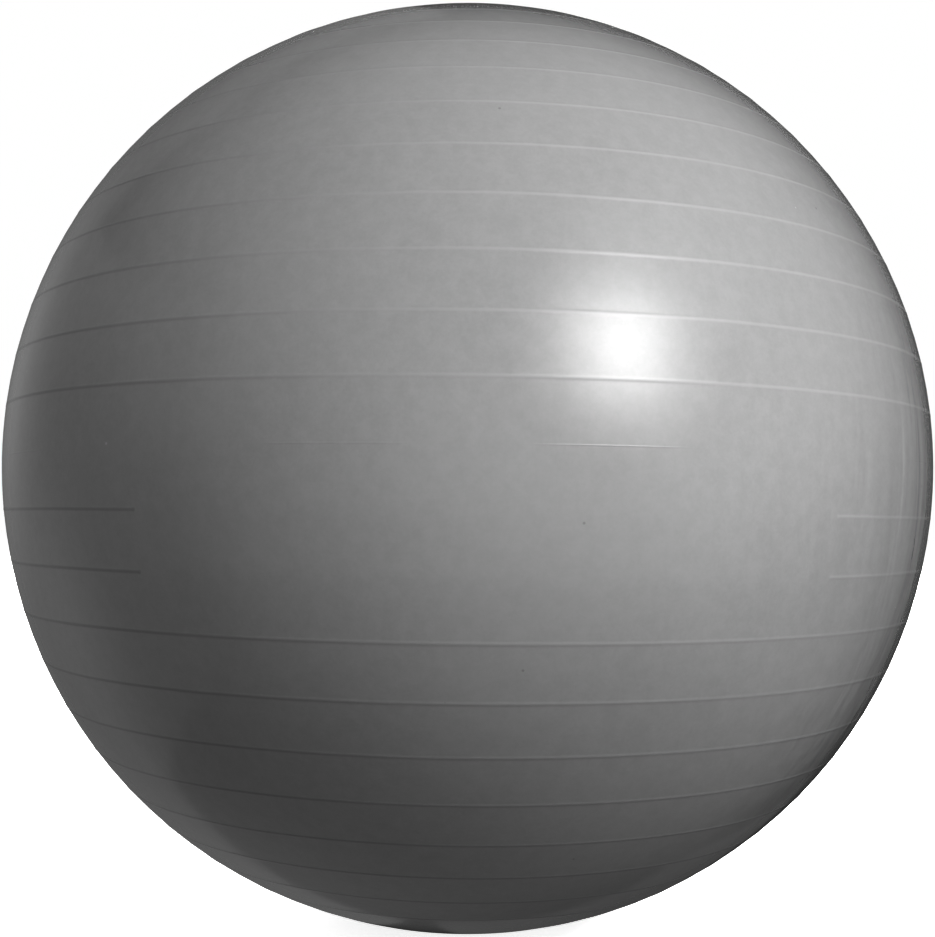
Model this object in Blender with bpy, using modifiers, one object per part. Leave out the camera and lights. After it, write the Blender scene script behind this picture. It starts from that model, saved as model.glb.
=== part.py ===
"""Inflated exercise ball: a hollow vinyl skin with raised grip rings, a moulded-in valve collar and an air plug.

Metres, +Z up. The origin is the middle of the flattened patch that the ball rests on. The ball's poles lie
on Z, so its grip rings are level. The smooth band for printing faces -Y, and the valve faces +Y.
"""

from math import acos, asin, atan2, cos, degrees, pi, radians, sin, sqrt

import bpy
from mathutils import Vector

# Ball
BALL_DIAMETER = 0.650
WALL = 0.0009
CONTACT_DIAMETER = 0.070  # the patch that the ball's own weight flattens
AROUND = 48  # flats round the ball
LATITUDE_STEP = 6.0  # degrees, along the smooth caps and the inside

# Grip rings, the same on both halves of the mould, with none at the parting line
RING_PITCH = 6.0  # degrees of latitude
RINGS_PER_HALF = 10
RING_WIDTH = 0.0040
RING_HEIGHT = 0.0004
BAND_RINGS = (-1, -2)  # the rings that stop at the smooth printing band
BAND_HALF_ANGLE = 36.25  # degrees either side of the front

# Valve
GAP = 0.0003  # between touching pieces
VALVE_HOLE_RADIUS = 0.0140
FLANGE_RADIUS = 0.0220
FLANGE_DEPTH = 0.0036  # from the collar's face to the flange behind the skin
FLANGE_THICKNESS = 0.0014
NECK_RADIUS = 0.0085
NECK_LENGTH = 0.0210
BORE_RADIUS = 0.0053
PLUG_SEAT_RADIUS = 0.0093
PLUG_SEAT_DEPTH = 0.0021
EDGE_BREAK = 0.0004  # chamfer on the collar and the plug's head

# Air plug
PLUG_LENGTH = 0.0240
PLUG_TIP_RADIUS = 0.0034
PLUG_STEM_RADIUS = 0.0044
PLUG_BARB_RADIUS = BORE_RADIUS - GAP
PLUG_BARBS = 3
PLUG_BARB_PITCH = 0.0055
DIMPLE_RADIUS = 0.0045
DIMPLE_DEPTH = 0.0006
VALVE_AROUND = 40  # flats round the collar and the plug

RADIUS = BALL_DIAMETER / 2
CENTRE_HEIGHT = sqrt(RADIUS**2 - (CONTACT_DIAMETER / 2) ** 2)
CENTRE = Vector((0, 0, CENTRE_HEIGHT))
VALVE_FACE = Vector((0, RADIUS, CENTRE_HEIGHT))


def clear_scene():
    for obj in list(bpy.data.objects):
        bpy.data.objects.remove(obj)


def new_collection(name):
    collection = bpy.data.collections.new(name)
    bpy.context.scene.collection.children.link(collection)
    return collection


def move_to(obj, collection):
    for old in list(obj.users_collection):
        old.objects.unlink(obj)
    collection.objects.link(obj)


def principled(name, colour, roughness):
    material = bpy.data.materials.new(name)
    material.use_nodes = True
    shader = material.node_tree.nodes["Principled BSDF"]
    shader.inputs["Base Color"].default_value = (*colour, 1)
    shader.inputs["Roughness"].default_value = roughness
    shader.inputs["Metallic"].default_value = 0
    material.diffuse_color = (*colour, 1)
    return material


def at_latitude(angle, radius):
    """The profile point (distance from the axis, height above the centre) at a latitude in degrees."""
    return radius * cos(radians(angle)), radius * sin(radians(angle))


def turned(name, profile, closed, steps, collection):
    """A profile of (radius, height) points turned about Z. It runs down the outer side, top to bottom."""
    edges = [(i, i + 1) for i in range(len(profile) - 1)]
    if closed:
        edges.append((len(profile) - 1, 0))
    mesh = bpy.data.meshes.new(name)
    mesh.from_pydata([(r, 0, z) for r, z in profile], edges, [])
    obj = bpy.data.objects.new(name, mesh)
    collection.objects.link(obj)
    screw = obj.modifiers.new("turn", "SCREW")
    screw.axis = "Z"
    screw.steps = steps
    screw.render_steps = steps
    screw.use_merge_vertices = True
    screw.merge_threshold = 1e-5
    return obj


def with_modifiers_applied(obj):
    graph = bpy.context.evaluated_depsgraph_get()
    mesh = bpy.data.meshes.new_from_object(obj.evaluated_get(graph))
    obj.modifiers.clear()
    obj.data = mesh
    return mesh


def shade(obj, material):
    obj.data.materials.clear()
    obj.data.materials.append(material)
    obj.data.shade_smooth()
    obj.data.set_sharp_from_angle(angle=radians(40))


def grip_ring(number):
    """The three outer points of a ring, counted from the parting line, positive above it."""
    middle = number * RING_PITCH
    half = degrees(RING_WIDTH / 2 / RADIUS)
    return [
        at_latitude(middle + half, RADIUS),
        at_latitude(middle, RADIUS + RING_HEIGHT),
        at_latitude(middle - half, RADIUS),
    ]


def smooth_cap(radius):
    """Points at regular latitudes from beyond the last ring to short of the pole."""
    first = (RINGS_PER_HALF + 1) * RING_PITCH
    count = round((90 - first) / LATITUDE_STEP)
    return [at_latitude(first + i * LATITUDE_STEP, radius) for i in range(count)]


def outer_profile():
    points = [(0, RADIUS)]
    points += reversed(smooth_cap(RADIUS))
    for number in range(RINGS_PER_HALF, 0, -1):
        points += grip_ring(number)
    points.append((RADIUS, 0))
    for number in range(1, RINGS_PER_HALF + 1):
        points += grip_ring(-number)
    patch_latitude = -degrees(asin(CENTRE_HEIGHT / RADIUS))
    points += [(r, -z) for r, z in smooth_cap(RADIUS) if degrees(atan2(-z, r)) > patch_latitude + 1]
    points.append((CONTACT_DIAMETER / 2, -CENTRE_HEIGHT))
    points.append((0, -CENTRE_HEIGHT))
    return points


def inner_profile():
    """The inside of the skin, from the contact patch up to the top pole."""
    radius = RADIUS - WALL
    floor = CENTRE_HEIGHT - WALL
    patch_edge = sqrt(radius**2 - floor**2)
    first = -degrees(acos(patch_edge / radius))
    count = int((90 - first) / LATITUDE_STEP)
    points = [(0, -floor), (patch_edge, -floor)]
    points += [at_latitude(90 - i * LATITUDE_STEP, radius) for i in range(count - 1, 0, -1)]
    points.append((0, radius))
    return points


def flatten_band(mesh):
    """Presses the stopped rings back into the skin across the printing band at the front."""
    for vertex in mesh.vertices:
        ring = degrees(asin(max(-1, min(1, vertex.co.z / vertex.co.length)))) / RING_PITCH
        on_crest = vertex.co.length > RADIUS + RING_HEIGHT / 2
        from_front = abs(degrees(atan2(vertex.co.x, -vertex.co.y)))
        if on_crest and round(ring) in BAND_RINGS and from_front < BAND_HALF_ANGLE:
            vertex.co = vertex.co.normalized() * RADIUS


def facing_back(obj, place):
    """Turns a piece made along +Z to lie along +Y, with its origin on the valve's axis."""
    obj.rotation_euler = (-pi / 2, 0, 0)
    obj.location = place


def ball_skin(collection, cutters, material):
    skin = turned("ball_skin", outer_profile() + inner_profile(), False, AROUND, collection)
    flatten_band(with_modifiers_applied(skin))
    skin.location = CENTRE
    shade(skin, material)

    bpy.ops.mesh.primitive_cylinder_add(vertices=VALVE_AROUND, radius=VALVE_HOLE_RADIUS, depth=0.03)
    cutter = bpy.context.object
    cutter.name = "valve_hole_cutter"
    facing_back(cutter, VALVE_FACE)
    cutter.hide_render = True
    cutter.display_type = "WIRE"
    move_to(cutter, cutters)
    hole = skin.modifiers.new("valve_hole", "BOOLEAN")
    hole.operation = "DIFFERENCE"
    hole.solver = "EXACT"
    hole.object = cutter


def valve_collar(collection, material):
    outside = VALVE_HOLE_RADIUS - GAP
    flange_back = FLANGE_DEPTH + FLANGE_THICKNESS
    profile = [
        (PLUG_SEAT_RADIUS + EDGE_BREAK, 0),
        (outside - EDGE_BREAK, 0),
        (outside, -EDGE_BREAK),
        (outside, -FLANGE_DEPTH),
        (FLANGE_RADIUS, -FLANGE_DEPTH - EDGE_BREAK),
        (FLANGE_RADIUS, -flange_back),
        (NECK_RADIUS + EDGE_BREAK, -flange_back - EDGE_BREAK),
        (NECK_RADIUS, -NECK_LENGTH + EDGE_BREAK),
        (NECK_RADIUS - EDGE_BREAK, -NECK_LENGTH),
        (BORE_RADIUS, -NECK_LENGTH),
        (BORE_RADIUS, -PLUG_SEAT_DEPTH),
        (PLUG_SEAT_RADIUS, -PLUG_SEAT_DEPTH),
        (PLUG_SEAT_RADIUS, -EDGE_BREAK),
    ]
    collar = turned("valve_collar", profile, True, VALVE_AROUND, collection)
    facing_back(collar, VALVE_FACE)
    shade(collar, material)


def air_plug(collection, material):
    head = PLUG_SEAT_RADIUS - GAP
    head_back = PLUG_SEAT_DEPTH - GAP
    profile = [
        (0, -DIMPLE_DEPTH),
        (DIMPLE_RADIUS - DIMPLE_DEPTH, -DIMPLE_DEPTH),
        (DIMPLE_RADIUS, 0),
        (head - EDGE_BREAK, 0),
        (head, -EDGE_BREAK),
        (head, -head_back),
        (PLUG_STEM_RADIUS, -head_back),
    ]
    for barb in range(PLUG_BARBS):
        top = -0.0045 - barb * PLUG_BARB_PITCH
        profile.append((PLUG_STEM_RADIUS, top))
        profile.append((PLUG_BARB_RADIUS, top - 0.0010))
        profile.append((PLUG_STEM_RADIUS, top - 0.0032))
    profile.append((PLUG_TIP_RADIUS, -PLUG_LENGTH))
    profile.append((0, -PLUG_LENGTH))
    plug = turned("air_plug", profile, False, VALVE_AROUND, collection)
    facing_back(plug, VALVE_FACE)
    shade(plug, material)


def main():
    clear_scene()
    parts = new_collection("exercise_ball")
    cutters = new_collection("cutters")
    vinyl = principled("grey_vinyl", (0.30, 0.30, 0.30), 0.34)
    collar_vinyl = principled("collar_vinyl", (0.24, 0.24, 0.24), 0.42)
    plug_plastic = principled("plug_plastic", (0.80, 0.80, 0.78), 0.38)
    ball_skin(parts, cutters, vinyl)
    valve_collar(parts, collar_vinyl)
    air_plug(parts, plug_plastic)


main()
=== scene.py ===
"""The looks of the exercise ball: a moulded vinyl skin, its valve and its plug, in a soft studio."""

from math import cos, pi, radians, sin, sqrt, tan

import bpy
import numpy as np
from mathutils import Matrix, Vector


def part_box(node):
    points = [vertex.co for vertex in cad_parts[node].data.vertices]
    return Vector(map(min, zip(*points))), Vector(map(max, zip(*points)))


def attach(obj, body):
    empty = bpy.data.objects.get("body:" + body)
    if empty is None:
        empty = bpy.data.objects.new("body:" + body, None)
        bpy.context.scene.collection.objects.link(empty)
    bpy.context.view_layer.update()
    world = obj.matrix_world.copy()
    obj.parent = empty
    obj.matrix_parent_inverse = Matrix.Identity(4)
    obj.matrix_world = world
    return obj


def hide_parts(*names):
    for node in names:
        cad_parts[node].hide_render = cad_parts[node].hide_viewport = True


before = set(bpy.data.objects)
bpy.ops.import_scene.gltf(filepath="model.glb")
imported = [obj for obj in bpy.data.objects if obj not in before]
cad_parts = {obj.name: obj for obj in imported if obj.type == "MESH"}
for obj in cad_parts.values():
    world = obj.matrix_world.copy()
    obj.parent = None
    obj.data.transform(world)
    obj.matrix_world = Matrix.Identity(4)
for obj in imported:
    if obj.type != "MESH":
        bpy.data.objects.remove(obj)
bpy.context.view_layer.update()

# --- The ball and its valve, from the frame ------------------------------------------------------
SKIN_LOW, SKIN_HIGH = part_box("ball_skin")
COLLAR_LOW, COLLAR_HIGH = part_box("valve_collar")
PLUG_LOW, PLUG_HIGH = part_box("air_plug")
RADIUS = (SKIN_HIGH.x - SKIN_LOW.x) / 2
CENTRE = Vector((0, 0, SKIN_HIGH.z - RADIUS))
VALVE_FACE = Vector((0, COLLAR_HIGH.y, CENTRE.z))
FLANGE_RADIUS = (COLLAR_HIGH.x - COLLAR_LOW.x) / 2
NECK_LENGTH = COLLAR_HIGH.y - COLLAR_LOW.y
PLUG_HEAD_RADIUS = (PLUG_HIGH.x - PLUG_LOW.x) / 2
PLUG_LENGTH = PLUG_HIGH.y - PLUG_LOW.y

# --- Moulded detail of the skin, in metres and degrees -------------------------------------------
WALL = 0.0009
HOLE_RADIUS = 0.0140
RING_PITCH = 6.0
RINGS_PER_HALF = 10
RING_WIDTH = 0.0034
RING_HEIGHT = 0.00013
BAND_RINGS = (-1, -2)
BAND_HALF_ANGLE = 36.25
SEAM_WIDTH = 0.0010
SEAM_HEIGHT = 0.00007
COLUMNS = 264
WINDOW = 4.6  # degrees either side of the valve, where the grid gives way to a round patch
PATCH_RINGS = 5
UNEVEN_WIDE = (0.00020, 0.16, 2)  # height, wavelength and seed of the skin's own unevenness
UNEVEN_FINE = (0.00005, 0.045, 3)
UNEVEN_RINGS = (0.12, 0.09, 5)  # the same for the rings, as a share of their height
SEAM_LEFT = (-21.5, -19.5, -10, -8.5)  # longitudes where each stretch of the parting line fades in and out
SEAM_RIGHT = (2.5, 4.5, 15.5, 17.5)
SEAM_SIDES = (49, 54, 169, 173)
CAP_STEPS = (6, 9, 12, 15, 18, 21, 23.85, 25.5, 27, 28.5)  # past the last ring; one at the resting patch

# --- The valve, in metres ------------------------------------------------------------------------
BORE_RADIUS = 0.0053
STEM_RADIUS = 0.0044
SUNK_RADIUS = 0.0093  # of the recess that takes the plug's head
SUNK_DEPTH = 0.0021
LIP_RADIUS = 0.0200
EDGE_RADIUS = 0.0004
TURN_STEPS = 96
BARBS = 3
BARB_PITCH = 0.0055


# --- The skin ------------------------------------------------------------------------------------
def degrees_of(length):
    """The angle that a length spans on the skin."""
    return np.degrees(length / RADIUS)


def smoothstep(low, high, value):
    t = np.clip((value - low) / (high - low), 0, 1)
    return t * t * (3 - 2 * t)


def stretch(fades, value):
    """1 between the inner two of four rising limits, falling smoothly to 0 at the outer two."""
    start, full, still_full, end = fades
    return smoothstep(start, full, value) * smoothstep(end, still_full, value)


def hump(t):
    """1 at t = 0, falling smoothly to 0 at t = 1 and beyond."""
    return 0.5 + 0.5 * np.cos(pi * np.clip(np.abs(t), 0, 1))


def ripple(points, wavelength, seed, waves=7):
    """Smooth noise from -1 to 1: a few sine waves in seeded directions."""
    rng = np.random.default_rng(seed)
    total = np.zeros(points.shape[:-1])
    for _ in range(waves):
        wave = rng.normal(size=3)
        wave *= 2 * pi / wavelength / np.linalg.norm(wave) * rng.uniform(0.6, 1.4)
        total += np.sin(points @ wave + rng.uniform(0, 2 * pi))
    return total / waves


def unit_sphere(lat, lon):
    """Directions from latitude and longitude in degrees. Longitude 0 faces -Y, 90 faces +X."""
    a, b = np.radians(lat), np.radians(lon)
    return np.stack([np.cos(a) * np.sin(b), -np.cos(a) * np.cos(b), np.sin(a)], -1)


def ring_relief(lat, lon, directions):
    """How far the rings stand out: 0 to about 1, with slight unevenness along them."""
    half = degrees_of(RING_WIDTH / 2)
    relief = np.zeros(lat.shape)
    height, wavelength, seed = UNEVEN_RINGS
    uneven = 1 + height * ripple(directions * RADIUS, wavelength, seed)
    for number in range(-RINGS_PER_HALF, RINGS_PER_HALF + 1):
        if number == 0:
            continue
        across = (lat - number * RING_PITCH) / half
        ring = hump(across) * uneven
        if number in BAND_RINGS:
            past_end = (np.abs(lon) - BAND_HALF_ANGLE) / half
            ring *= smoothstep(-0.9, 0.5, past_end)
            ring += 0.45 * hump(past_end / 1.1) * hump(across / 1.5)
        relief += ring
    return relief


def seam_relief(lat, lon):
    """The mould's parting line on the equator: trimmed away across most of the front, faint elsewhere."""
    line = hump(lat / degrees_of(SEAM_WIDTH / 2))
    stretches = stretch(SEAM_LEFT, lon) + stretch(SEAM_RIGHT, lon) + stretch(SEAM_SIDES, np.abs(lon))
    return line * np.clip(stretches, 0, 1)


def skin_surface(lat, lon, inside):
    """Points on the skin, inside metres below its outer face, and the rings' relief there."""
    directions = unit_sphere(lat, lon)
    radius = np.full(lat.shape, RADIUS - inside)
    for height, wavelength, seed in (UNEVEN_WIDE, UNEVEN_FINE):
        radius += height * ripple(directions * RADIUS, wavelength, seed)
    relief = np.zeros(lat.shape)
    if not inside:
        relief = ring_relief(lat, lon, directions)
        radius += RING_HEIGHT * relief + SEAM_HEIGHT * seam_relief(lat, lon)
    points = directions * radius[..., None] + np.array(CENTRE)
    points[..., 2] = np.maximum(points[..., 2], inside)
    return points, relief


def row_latitudes(fine):
    """Latitudes of the grid's rows. Fine rows follow each ring's section."""
    half = degrees_of(RING_WIDTH / 2)
    seam = degrees_of(SEAM_WIDTH / 2)
    found = [seam / 2, seam, seam * 1.6, seam * 4, RING_PITCH / 4, RING_PITCH / 2, WINDOW]
    for number in range(1, RINGS_PER_HALF + 1):
        middle = number * RING_PITCH
        if fine:
            found += [middle + half * t for t in (-1.5, -1, -0.7, -0.4, 0, 0.4, 0.7, 1, 1.5)]
            found += [middle + RING_PITCH / 2]
        else:
            found.append(middle)
    last = RINGS_PER_HALF * RING_PITCH
    found += [last + step for step in CAP_STEPS]
    return np.array(sorted([-v for v in found] + [0.0] + found))


def column_longitudes():
    """Longitudes of the grid's columns from 0 to 360, closer together where the band's rings end."""
    even = np.arange(COLUMNS) * 360 / COLUMNS
    half = degrees_of(RING_WIDTH / 2)
    ends = BAND_HALF_ANGLE + half * np.array([-1.2, -0.8, -0.4, 0, 0.4, 0.8, 1.2])
    ends = np.concatenate([ends, 360 - ends])
    clear = np.abs(even[:, None] - ends[None, :]).min(1) > 0.12
    return np.sort(np.concatenate([even[clear], ends]))


class Shell:
    """One face of the skin: a grid of rows and columns, two poles and a round patch at the valve."""

    def __init__(self, lats, lons, inside, first):
        self.points, self.relief, self.faces = [], [], []
        self.first, self.inside = first, inside
        self.count = 0
        rows, cols = len(lats), len(lons)
        lat, lon = np.meshgrid(lats, lons, indexing="ij")
        grid = self.add(lat, lon).reshape(rows, cols)
        in_rows = np.flatnonzero(np.abs(lats) <= WINDOW + 1e-6)
        in_cols = np.flatnonzero(np.abs(lons - 180) <= WINDOW)
        r0, r1, c0, c1 = in_rows[0], in_rows[-1], in_cols[0], in_cols[-1]
        for r in range(rows - 1):
            for c in range(cols):
                if r0 <= r < r1 and c0 <= c < c1:
                    continue
                after = (c + 1) % cols
                self.faces.append((grid[r, c], grid[r, after], grid[r + 1, after], grid[r + 1, c]))
        south, north = self.add(np.array([-90.0, 90.0]), np.zeros(2))
        for c in range(cols):
            after = (c + 1) % cols
            self.faces.append((south, grid[0, after], grid[0, c]))
            self.faces.append((north, grid[-1, c], grid[-1, after]))
        corners = [(r0, c) for c in range(c0, c1)] + [(r, c1) for r in range(r0, r1)]
        corners += [(r1, c) for c in range(c1, c0, -1)] + [(r, c0) for r in range(r1, r0, -1)]
        self.rim = self.patch([grid[r, c] for r, c in corners], [(lats[r], lons[c]) for r, c in corners])

    def add(self, lat, lon):
        """Adds surface points and returns their vertex numbers."""
        wrapped = (lon + 180) % 360 - 180
        points, relief = skin_surface(lat, wrapped, self.inside)
        self.points.append(points.reshape(-1, 3))
        self.relief.append(relief.reshape(-1))
        start = self.first + self.count
        self.count += lat.size
        return np.arange(start, start + lat.size)

    def patch(self, loop, places):
        """Rings of faces from the window's square edge in to the round hole. Returns the hole's edge."""
        square = unit_sphere(*np.array(places).T)[:, [0, 2]] * RADIUS
        size = np.linalg.norm(square, axis=1)
        circle = square / size[:, None] * HOLE_RADIUS
        outer = np.array(loop)
        for step in range(1, PATCH_RINGS + 1):
            across = (square + (circle - square) * step / PATCH_RINGS) / RADIUS
            y = np.sqrt(1 - (across**2).sum(1))
            lat = np.degrees(np.arcsin(across[:, 1]))
            lon = 180 - np.degrees(np.arctan2(across[:, 0], y))
            inner = self.add(lat, lon)
            for i in range(len(outer)):
                j = (i + 1) % len(outer)
                self.faces.append((outer[i], outer[j], inner[j], inner[i]))
            outer = inner
        return outer


def make_mesh_object(name, points, faces, material, sharp):
    mesh = bpy.data.meshes.new(name)
    mesh.from_pydata(points, [], faces)
    mesh.validate()
    mesh.materials.append(material)
    mesh.shade_smooth()
    mesh.set_sharp_from_angle(angle=radians(sharp))
    obj = bpy.data.objects.new(name, mesh)
    bpy.context.scene.collection.objects.link(obj)
    return obj


def build_skin(material):
    lons = column_longitudes()
    outer = Shell(row_latitudes(True), lons, 0.0, 0)
    inner = Shell(row_latitudes(False), lons, WALL, outer.count)
    faces = outer.faces + [tuple(reversed(face)) for face in inner.faces]
    for i in range(len(outer.rim)):
        j = (i + 1) % len(outer.rim)
        faces.append((outer.rim[i], outer.rim[j], inner.rim[j], inner.rim[i]))
    points = np.concatenate(outer.points + inner.points)
    skin = make_mesh_object("vinyl_skin", points.tolist(), [tuple(map(int, f)) for f in faces], material, 60)
    crest = skin.data.attributes.new("ring_crest", "FLOAT", "POINT")
    crest.data.foreach_set("value", np.concatenate(outer.relief + inner.relief).astype(np.float32))
    return skin


# --- The valve -----------------------------------------------------------------------------------
def rounded(profile, radius, closed, steps=4):
    """The profile with each corner replaced by a small curve."""
    points = [Vector(p) for p in profile]
    count = len(points)
    smooth = []
    for i, corner in enumerate(points):
        if not closed and i in (0, count - 1):
            smooth.append(corner)
            continue
        before, after = points[i - 1], points[(i + 1) % count]
        cut = min(radius, 0.45 * (before - corner).length, 0.45 * (after - corner).length)
        start = corner + (before - corner).normalized() * cut
        end = corner + (after - corner).normalized() * cut
        for k in range(steps + 1):
            t = k / steps
            smooth.append((1 - t) ** 2 * start + 2 * t * (1 - t) * corner + t * t * end)
    return smooth


def turned(name, profile, closed, material):
    """A (radius, outward) profile turned about the valve's axis."""
    mesh = bpy.data.meshes.new(name)
    edges = [(i, i + 1) for i in range(len(profile) - 1)]
    if closed:
        edges.append((len(profile) - 1, 0))
    mesh.from_pydata([(r, 0, h) for r, h in profile], edges, [])
    obj = bpy.data.objects.new(name, mesh)
    bpy.context.scene.collection.objects.link(obj)
    screw = obj.modifiers.new("turn", "SCREW")
    screw.steps = screw.render_steps = TURN_STEPS
    screw.use_merge_vertices = True
    screw.merge_threshold = 1e-6
    made = bpy.data.meshes.new_from_object(obj.evaluated_get(bpy.context.evaluated_depsgraph_get()))
    obj.modifiers.clear()
    obj.data = made
    made.transform(Matrix.Translation(VALVE_FACE) @ Matrix.Rotation(-pi / 2, 4, "X"))
    made.materials.append(material)
    made.shade_smooth()
    made.set_sharp_from_angle(angle=radians(50))
    return obj


def sphere_height(r):
    """Height of the skin at a distance from the valve's axis, measured from the valve's face."""
    return sqrt(RADIUS**2 - r * r) - RADIUS


def build_collar(material):
    outside = HOLE_RADIUS - 0.0003
    profile = [
        (0.0098, 0.0003),
        (0.0118, 0.0003),
        (0.0124, 0.0008),
        (0.0148, 0.0008),
        (0.0172, 0.0001),
        (LIP_RADIUS, sphere_height(LIP_RADIUS) + 0.00006),
        (LIP_RADIUS, sphere_height(LIP_RADIUS) - 0.0003),
        (outside, -0.0006),
        (outside, -0.0036),
        (FLANGE_RADIUS, -0.0040),
        (FLANGE_RADIUS, -0.0050),
        (0.0089, -0.0054),
        (0.0085, -NECK_LENGTH),
        (BORE_RADIUS, -NECK_LENGTH),
        (BORE_RADIUS, -SUNK_DEPTH),
        (SUNK_RADIUS, -SUNK_DEPTH),
        (SUNK_RADIUS, -0.0002),
    ]
    return turned("moulded_collar", rounded(profile, EDGE_RADIUS, True), True, material)


def build_plug(material):
    head = PLUG_HEAD_RADIUS
    profile = [
        (0, -0.00035),
        (0.0009, -0.00035),
        (0.0011, -0.0006),
        (0.0038, -0.0006),
        (0.0044, 0.0001),
        (0.0076, 0.0001),
        (head, -0.0003),
        (head, -0.0018),
        (STEM_RADIUS, -0.0018),
    ]
    for barb in range(BARBS):
        top = -0.0045 - barb * BARB_PITCH
        profile += [(STEM_RADIUS, top), (0.0050, top - 0.0010), (STEM_RADIUS, top - 0.0032)]
    profile += [(0.0034, -PLUG_LENGTH), (0, -PLUG_LENGTH)]
    return turned("push_in_plug", rounded(profile, EDGE_RADIUS, False), False, material)


# --- Materials -----------------------------------------------------------------------------------
class Nodes:
    """A short way to write a node tree."""

    def __init__(self, name):
        self.material = bpy.data.materials.new(name)
        self.material.use_nodes = True
        self.tree = self.material.node_tree
        self.shader = self.tree.nodes["Principled BSDF"]
        self.place = self.add("ShaderNodeTexCoord").outputs["Object"]

    def add(self, kind, inputs=None, **settings):
        node = self.tree.nodes.new(kind)
        for key, value in settings.items():
            setattr(node, key, value)
        for key, value in (inputs or {}).items():
            self.set(node.inputs[key], value)
        return node

    def set(self, socket, value):
        if isinstance(value, bpy.types.NodeSocket):
            self.tree.links.new(value, socket)
        else:
            socket.default_value = value

    def noise(self, scale, detail=2.0, roughness=0.5):
        inputs = {"Vector": self.place, "Scale": scale, "Detail": detail, "Roughness": roughness}
        return self.add("ShaderNodeTexNoise", inputs).outputs["Fac"]

    def remap(self, value, low, high, to_low, to_high):
        inputs = {"Value": value, "From Min": low, "From Max": high, "To Min": to_low, "To Max": to_high}
        return self.add("ShaderNodeMapRange", inputs).outputs["Result"]

    def math(self, operation, a, b):
        return self.add("ShaderNodeMath", {0: a, 1: b}, operation=operation).outputs[0]

    def facing(self, side):
        """How far a point of the ball lies towards a side: 1 right on it, -1 opposite."""
        offset = self.add("ShaderNodeVectorMath", {0: self.place, 1: CENTRE}, operation="SUBTRACT").outputs[0]
        inputs = {0: offset, 1: side / RADIUS}
        return self.add("ShaderNodeVectorMath", inputs, operation="DOT_PRODUCT").outputs["Value"]

    def blend(self, factor, a, b):
        node = self.add("ShaderNodeMix", data_type="RGBA")
        for name, value in (("Factor_Float", factor), ("A_Color", a), ("B_Color", b)):
            self.set(next(s for s in node.inputs if s.identifier == name), value)
        return next(s for s in node.outputs if s.identifier == "Result_Color")

    def bump(self, height, strength, distance, normal=None):
        inputs = {"Height": height, "Strength": strength, "Distance": distance}
        if normal:
            inputs["Normal"] = normal
        return self.add("ShaderNodeBump", inputs).outputs["Normal"]


def grey(value):
    return (value, value, value, 1)


def direction(azimuth, elevation):
    """Azimuth 0 points to -Y, the front, and 90 to +X."""
    a, e = radians(azimuth), radians(elevation)
    return Vector((sin(a) * cos(e), -cos(a) * cos(e), sin(e)))


FOLDED_SIDE = direction(50, -12)  # where the vinyl creased
PAINTED_LIGHT_SIDE = direction(33, 24)  # towards the key light: the rings' colour is painted lighter on this side and darker opposite, as painted light and shade


def vinyl_material():
    """Blown vinyl: nearly even grey with a fine grain, soft peel, folds on one side and a little dust.

    The rings are thicker than the skin. Their colour is painted lighter than the skin on the side towards the
    key light
    and darker on the far side: painted light and shade, standing in for light coming through the vinyl.
    """
    n = Nodes("skin_vinyl")
    crest = n.add("ShaderNodeAttribute", attribute_name="ring_crest").outputs["Fac"]
    colour = n.blend(n.remap(n.noise(6, 3), 0.3, 0.7, 0, 1), grey(0.215), grey(0.229))
    grain = n.math("ADD", n.noise(420, 2, 0.7), n.noise(120, 1))
    colour = n.blend(n.remap(grain, 0.7, 1.3, 0, 0.36), colour, grey(0.255))
    # painted light and shade: the rings' colour runs from dark grey away from the key light to light grey
    # towards it
    lit = n.remap(n.facing(PAINTED_LIGHT_SIDE), 0.1, 0.9, 0, 1)
    ring = n.blend(lit, grey(0.145), grey(0.26))
    colour = n.blend(n.remap(crest, 0.15, 0.9, 0, 0.6), colour, ring)
    dust = n.add("ShaderNodeTexVoronoi", {"Vector": n.place, "Scale": 26})
    tone = n.add("ShaderNodeSeparateColor", {"Color": dust.outputs["Color"]}).outputs[0]
    speck = n.remap(dust.outputs["Distance"], 0.026, 0.015, 0, 0.6)
    colour = n.blend(speck, colour, n.blend(n.remap(tone, 0.45, 0.55, 0, 1), grey(0.15), grey(0.33)))
    n.set(n.shader.inputs["Base Color"], colour)
    gloss = n.remap(n.noise(14, 5, 0.6), 0.3, 0.7, 0.14, 0.16)
    n.set(n.shader.inputs["Roughness"], n.math("ADD", gloss, n.remap(crest, 0.02, 0.4, 0, 0.06)))
    n.set(n.shader.inputs["Normal"], n.bump(n.noise(150, 2), 0.06, 0.0006, vinyl_folds(n)))
    return n.material


def vinyl_folds(n):
    """Upright folds: faint all round, and stronger where the vinyl creased, low on the +X side."""
    flat = n.add("ShaderNodeVectorMath", {0: n.place, 1: (1, 1, 0.12)}, operation="MULTIPLY").outputs[0]
    inputs = {"Vector": flat, "Scale": 42, "Detail": 2, "Roughness": 0.55, "Distortion": 0.3}
    folds = n.add("ShaderNodeTexNoise", inputs).outputs["Fac"]
    creased = n.remap(n.facing(FOLDED_SIDE), 0.80, 0.96, 0, 1)
    faint = n.remap(n.noise(5, 1), 0.45, 0.7, 0.02, 0.12)
    return n.bump(n.math("MULTIPLY", folds, n.math("ADD", creased, faint)), 1.0, 0.0011)


def collar_material():
    n = Nodes("collar_vinyl")
    clouds = n.remap(n.noise(120, 3), 0.3, 0.7, 0, 1)
    n.set(n.shader.inputs["Base Color"], n.blend(clouds, grey(0.20), grey(0.24)))
    n.set(n.shader.inputs["Roughness"], n.remap(n.noise(300, 3), 0.3, 0.7, 0.32, 0.45))
    n.set(n.shader.inputs["Normal"], n.bump(n.noise(1500, 2), 0.1, 0.0002))
    return n.material


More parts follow.
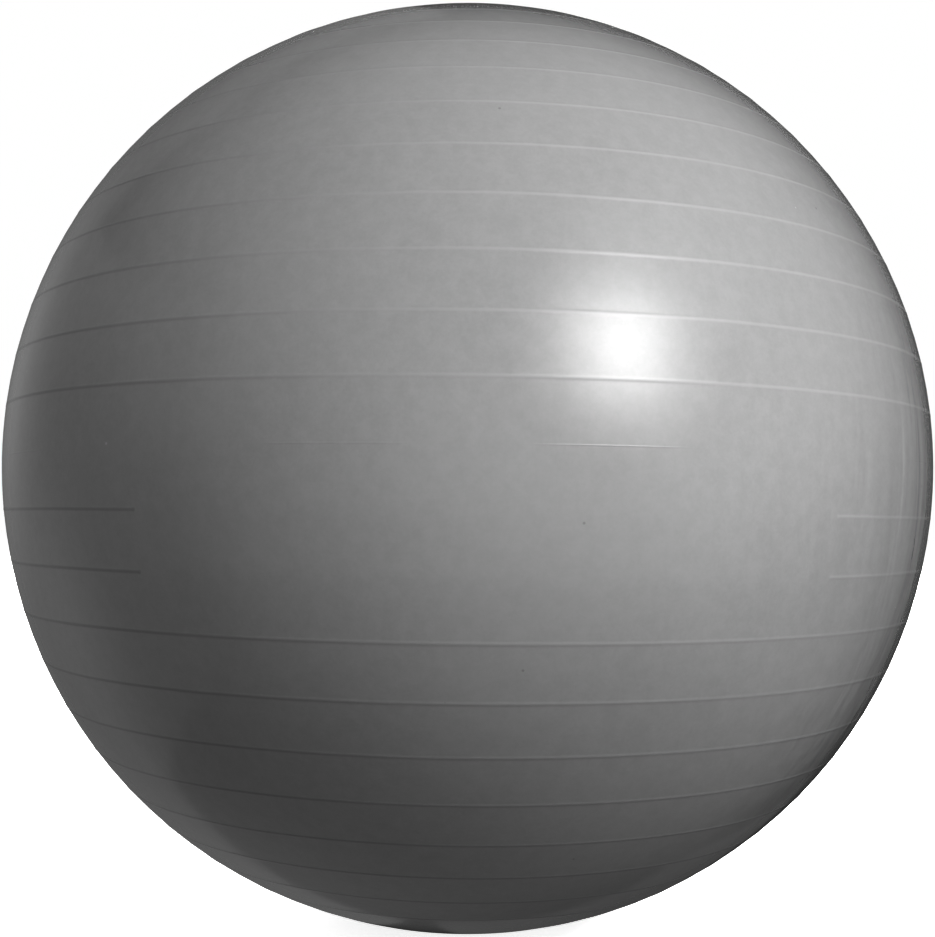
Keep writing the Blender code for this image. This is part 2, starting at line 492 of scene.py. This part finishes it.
def plug_material():
    n = Nodes("plug_plastic")
    clouds = n.remap(n.noise(150, 3), 0.3, 0.7, 0, 1)
    n.set(n.shader.inputs["Base Color"], n.blend(clouds, (0.46, 0.46, 0.44, 1), (0.4, 0.4, 0.38, 1)))
    n.set(n.shader.inputs["Roughness"], n.remap(n.noise(400, 3), 0.3, 0.7, 0.32, 0.42))
    n.set(n.shader.inputs["Normal"], n.bump(n.noise(1200, 2), 0.08, 0.0002))
    n.shader.inputs["Subsurface Weight"].default_value = 0.15
    n.shader.inputs["Subsurface Scale"].default_value = 0.002
    return n.material


# --- Stage, light and camera ---------------------------------------------------------------------
CAMERA_AZIMUTH = -2.8
CAMERA_ELEVATION = -2.2
CAMERA_DISTANCE = 3.0 * RADIUS
CAMERA_ROLL = 0.6
LENS = 50.6  # on the 36 mm of the picture's longer side
CONTRAST = 1.7
FLOOR_SIZE = 40
FLOOR_GLOW = 0.8  # a white floor, with only a faint shadow under the ball

# Pools of light in the world: azimuth, elevation, tightness and strength.
POOLS = (
    (0, 0, 2, 1.4),
    (30, 0, 5, 0.08),
    (60, 0, 8, 1.18),
    (90, -45, 5, 0.35),
    (-120, 0, 8, 0.23),
    (-150, -50, 8, 0.43),
    (-115, -20, 24, 0.35),
    (-140, 10, 24, 0.37),
)
# Panels that the vinyl mirrors near its rim: azimuth, elevation, half width and half height in
# degrees as the ball sees them, and radiance.
PANELS = {
    "backdrop_left": (-155, 4, 23, 46, 0.21),
    "side_left": (-105, -6, 27, 36, 0.23),
    "backdrop_right": (162, -33, 14, 11, 0.14),
}
# Lamps that light the vinyl but don't show in its gloss.
FILLS = {
    "fill_high": (50, 40, 14, 14, 20.6),
    "fill_left": (-90, 45, 28, 28, 1.75),
    "fill_behind": (177, 20, 13, 13, 24.0),
}
LIGHT_DISTANCE = 8.0
# The key lamp, close in front of the ball: nested discs make one lamp that fades towards its edge.
# Angles are in degrees, as seen from the ball's centre, and the distance is in metres.
KEY_AZIMUTH = 26.7
KEY_ELEVATION = 19.8
KEY_DISTANCE = 1.05
KEY_DISCS = ((3.5, 1.9), (7, 2.85), (10.5, 2.5), (14, 1.9), (18.5, 1.35))  # half width and radiance
KEY_GAP = 0.002  # between one disc and the next


def build_floor():
    n = Nodes("pale_floor")
    n.set(n.shader.inputs["Base Color"], n.blend(n.noise(3, 3), grey(0.80), grey(0.84)))
    n.shader.inputs["Roughness"].default_value = 0.9
    n.shader.inputs["Emission Color"].default_value = grey(1.0)
    n.shader.inputs["Emission Strength"].default_value = FLOOR_GLOW
    bpy.ops.mesh.primitive_plane_add(size=FLOOR_SIZE)
    floor = bpy.context.object
    floor.name = "floor"
    floor.data.materials.append(n.material)
    floor.visible_diffuse = False
    floor.visible_glossy = False
    floor.visible_shadow = False


def build_world():
    """White to the camera. To everything else, a dark studio with soft pools of light."""
    world = bpy.data.worlds.new("studio")
    bpy.context.scene.world = world
    world.use_nodes = True
    tree = world.node_tree
    tree.nodes.clear()

    def add(kind, *values, **settings):
        node = tree.nodes.new(kind)
        for key, value in settings.items():
            setattr(node, key, value)
        for socket, value in zip(node.inputs, values):
            if isinstance(value, bpy.types.NodeSocket):
                tree.links.new(value, socket)
            else:
                socket.default_value = value
        return node

    around = add("ShaderNodeTexCoord").outputs["Generated"]
    total = 0.0
    for azimuth, elevation, spread, strength in POOLS:
        facing = add("ShaderNodeVectorMath", around, direction(azimuth, elevation), operation="DOT_PRODUCT")
        lit = add("ShaderNodeMath", facing.outputs["Value"], 0.0, operation="MAXIMUM")
        lobe = add("ShaderNodeMath", lit.outputs[0], float(spread), operation="POWER")
        total = add("ShaderNodeMath", lobe.outputs[0], strength, total, operation="MULTIPLY_ADD").outputs[0]
    lighting = add("ShaderNodeBackground", grey(1.0), total)
    seen = add("ShaderNodeBackground", grey(1.0), 1.0)
    path = add("ShaderNodeLightPath")
    mix = add("ShaderNodeMixShader", path.outputs["Is Camera Ray"], lighting.outputs[0], seen.outputs[0])
    add("ShaderNodeOutputWorld", mix.outputs[0])


def softbox(name, azimuth, elevation, half_width, half_height, radiance, distance=LIGHT_DISTANCE):
    light = bpy.data.lights.new(name, "AREA")
    light.shape = "RECTANGLE"
    light.size = 2 * distance * tan(radians(half_width))
    light.size_y = 2 * distance * tan(radians(half_height))
    light.energy = radiance * pi * light.size * light.size_y
    obj = bpy.data.objects.new(name, light)
    bpy.context.scene.collection.objects.link(obj)
    away = direction(azimuth, elevation)
    obj.location = CENTRE + away * distance
    obj.rotation_euler = away.to_track_quat("Z", "Y").to_euler()
    obj.visible_camera = False
    return obj


def build_lights():
    for name, values in PANELS.items():
        softbox(name, *values)
    for name, values in FILLS.items():
        softbox(name, *values).visible_glossy = False
    for number, (half, radiance) in enumerate(KEY_DISCS):
        distance = KEY_DISTANCE + number * KEY_GAP
        disc = softbox(f"key_{number}", KEY_AZIMUTH, KEY_ELEVATION, half, half, radiance, distance)
        disc.data.shape = "DISK"
        disc.data.energy *= pi / 4


def build_camera():
    data = bpy.data.cameras.new("camera")
    data.lens = LENS
    data.sensor_width = 36
    camera = bpy.data.objects.new("camera", data)
    bpy.context.scene.collection.objects.link(camera)
    back = direction(CAMERA_AZIMUTH, CAMERA_ELEVATION)
    camera.location = CENTRE + back * CAMERA_DISTANCE
    turn = back.to_track_quat("Z", "Y").to_matrix() @ Matrix.Rotation(radians(CAMERA_ROLL), 3, "Z")
    camera.rotation_euler = turn.to_euler()
    bpy.context.scene.camera = camera


# --- Assembly ------------------------------------------------------------------------------------
skin = build_skin(vinyl_material())
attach(skin, "ball")
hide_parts("ball_skin")

collar = build_collar(collar_material())
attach(collar, "ball")
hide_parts("valve_collar")

plug = build_plug(plug_material())
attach(plug, "plug")
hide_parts("air_plug")

build_floor()
build_world()
build_lights()
build_camera()
bpy.context.scene.view_settings.view_transform = "Standard"
bpy.context.scene.view_settings.gamma = 1 / CONTRAST
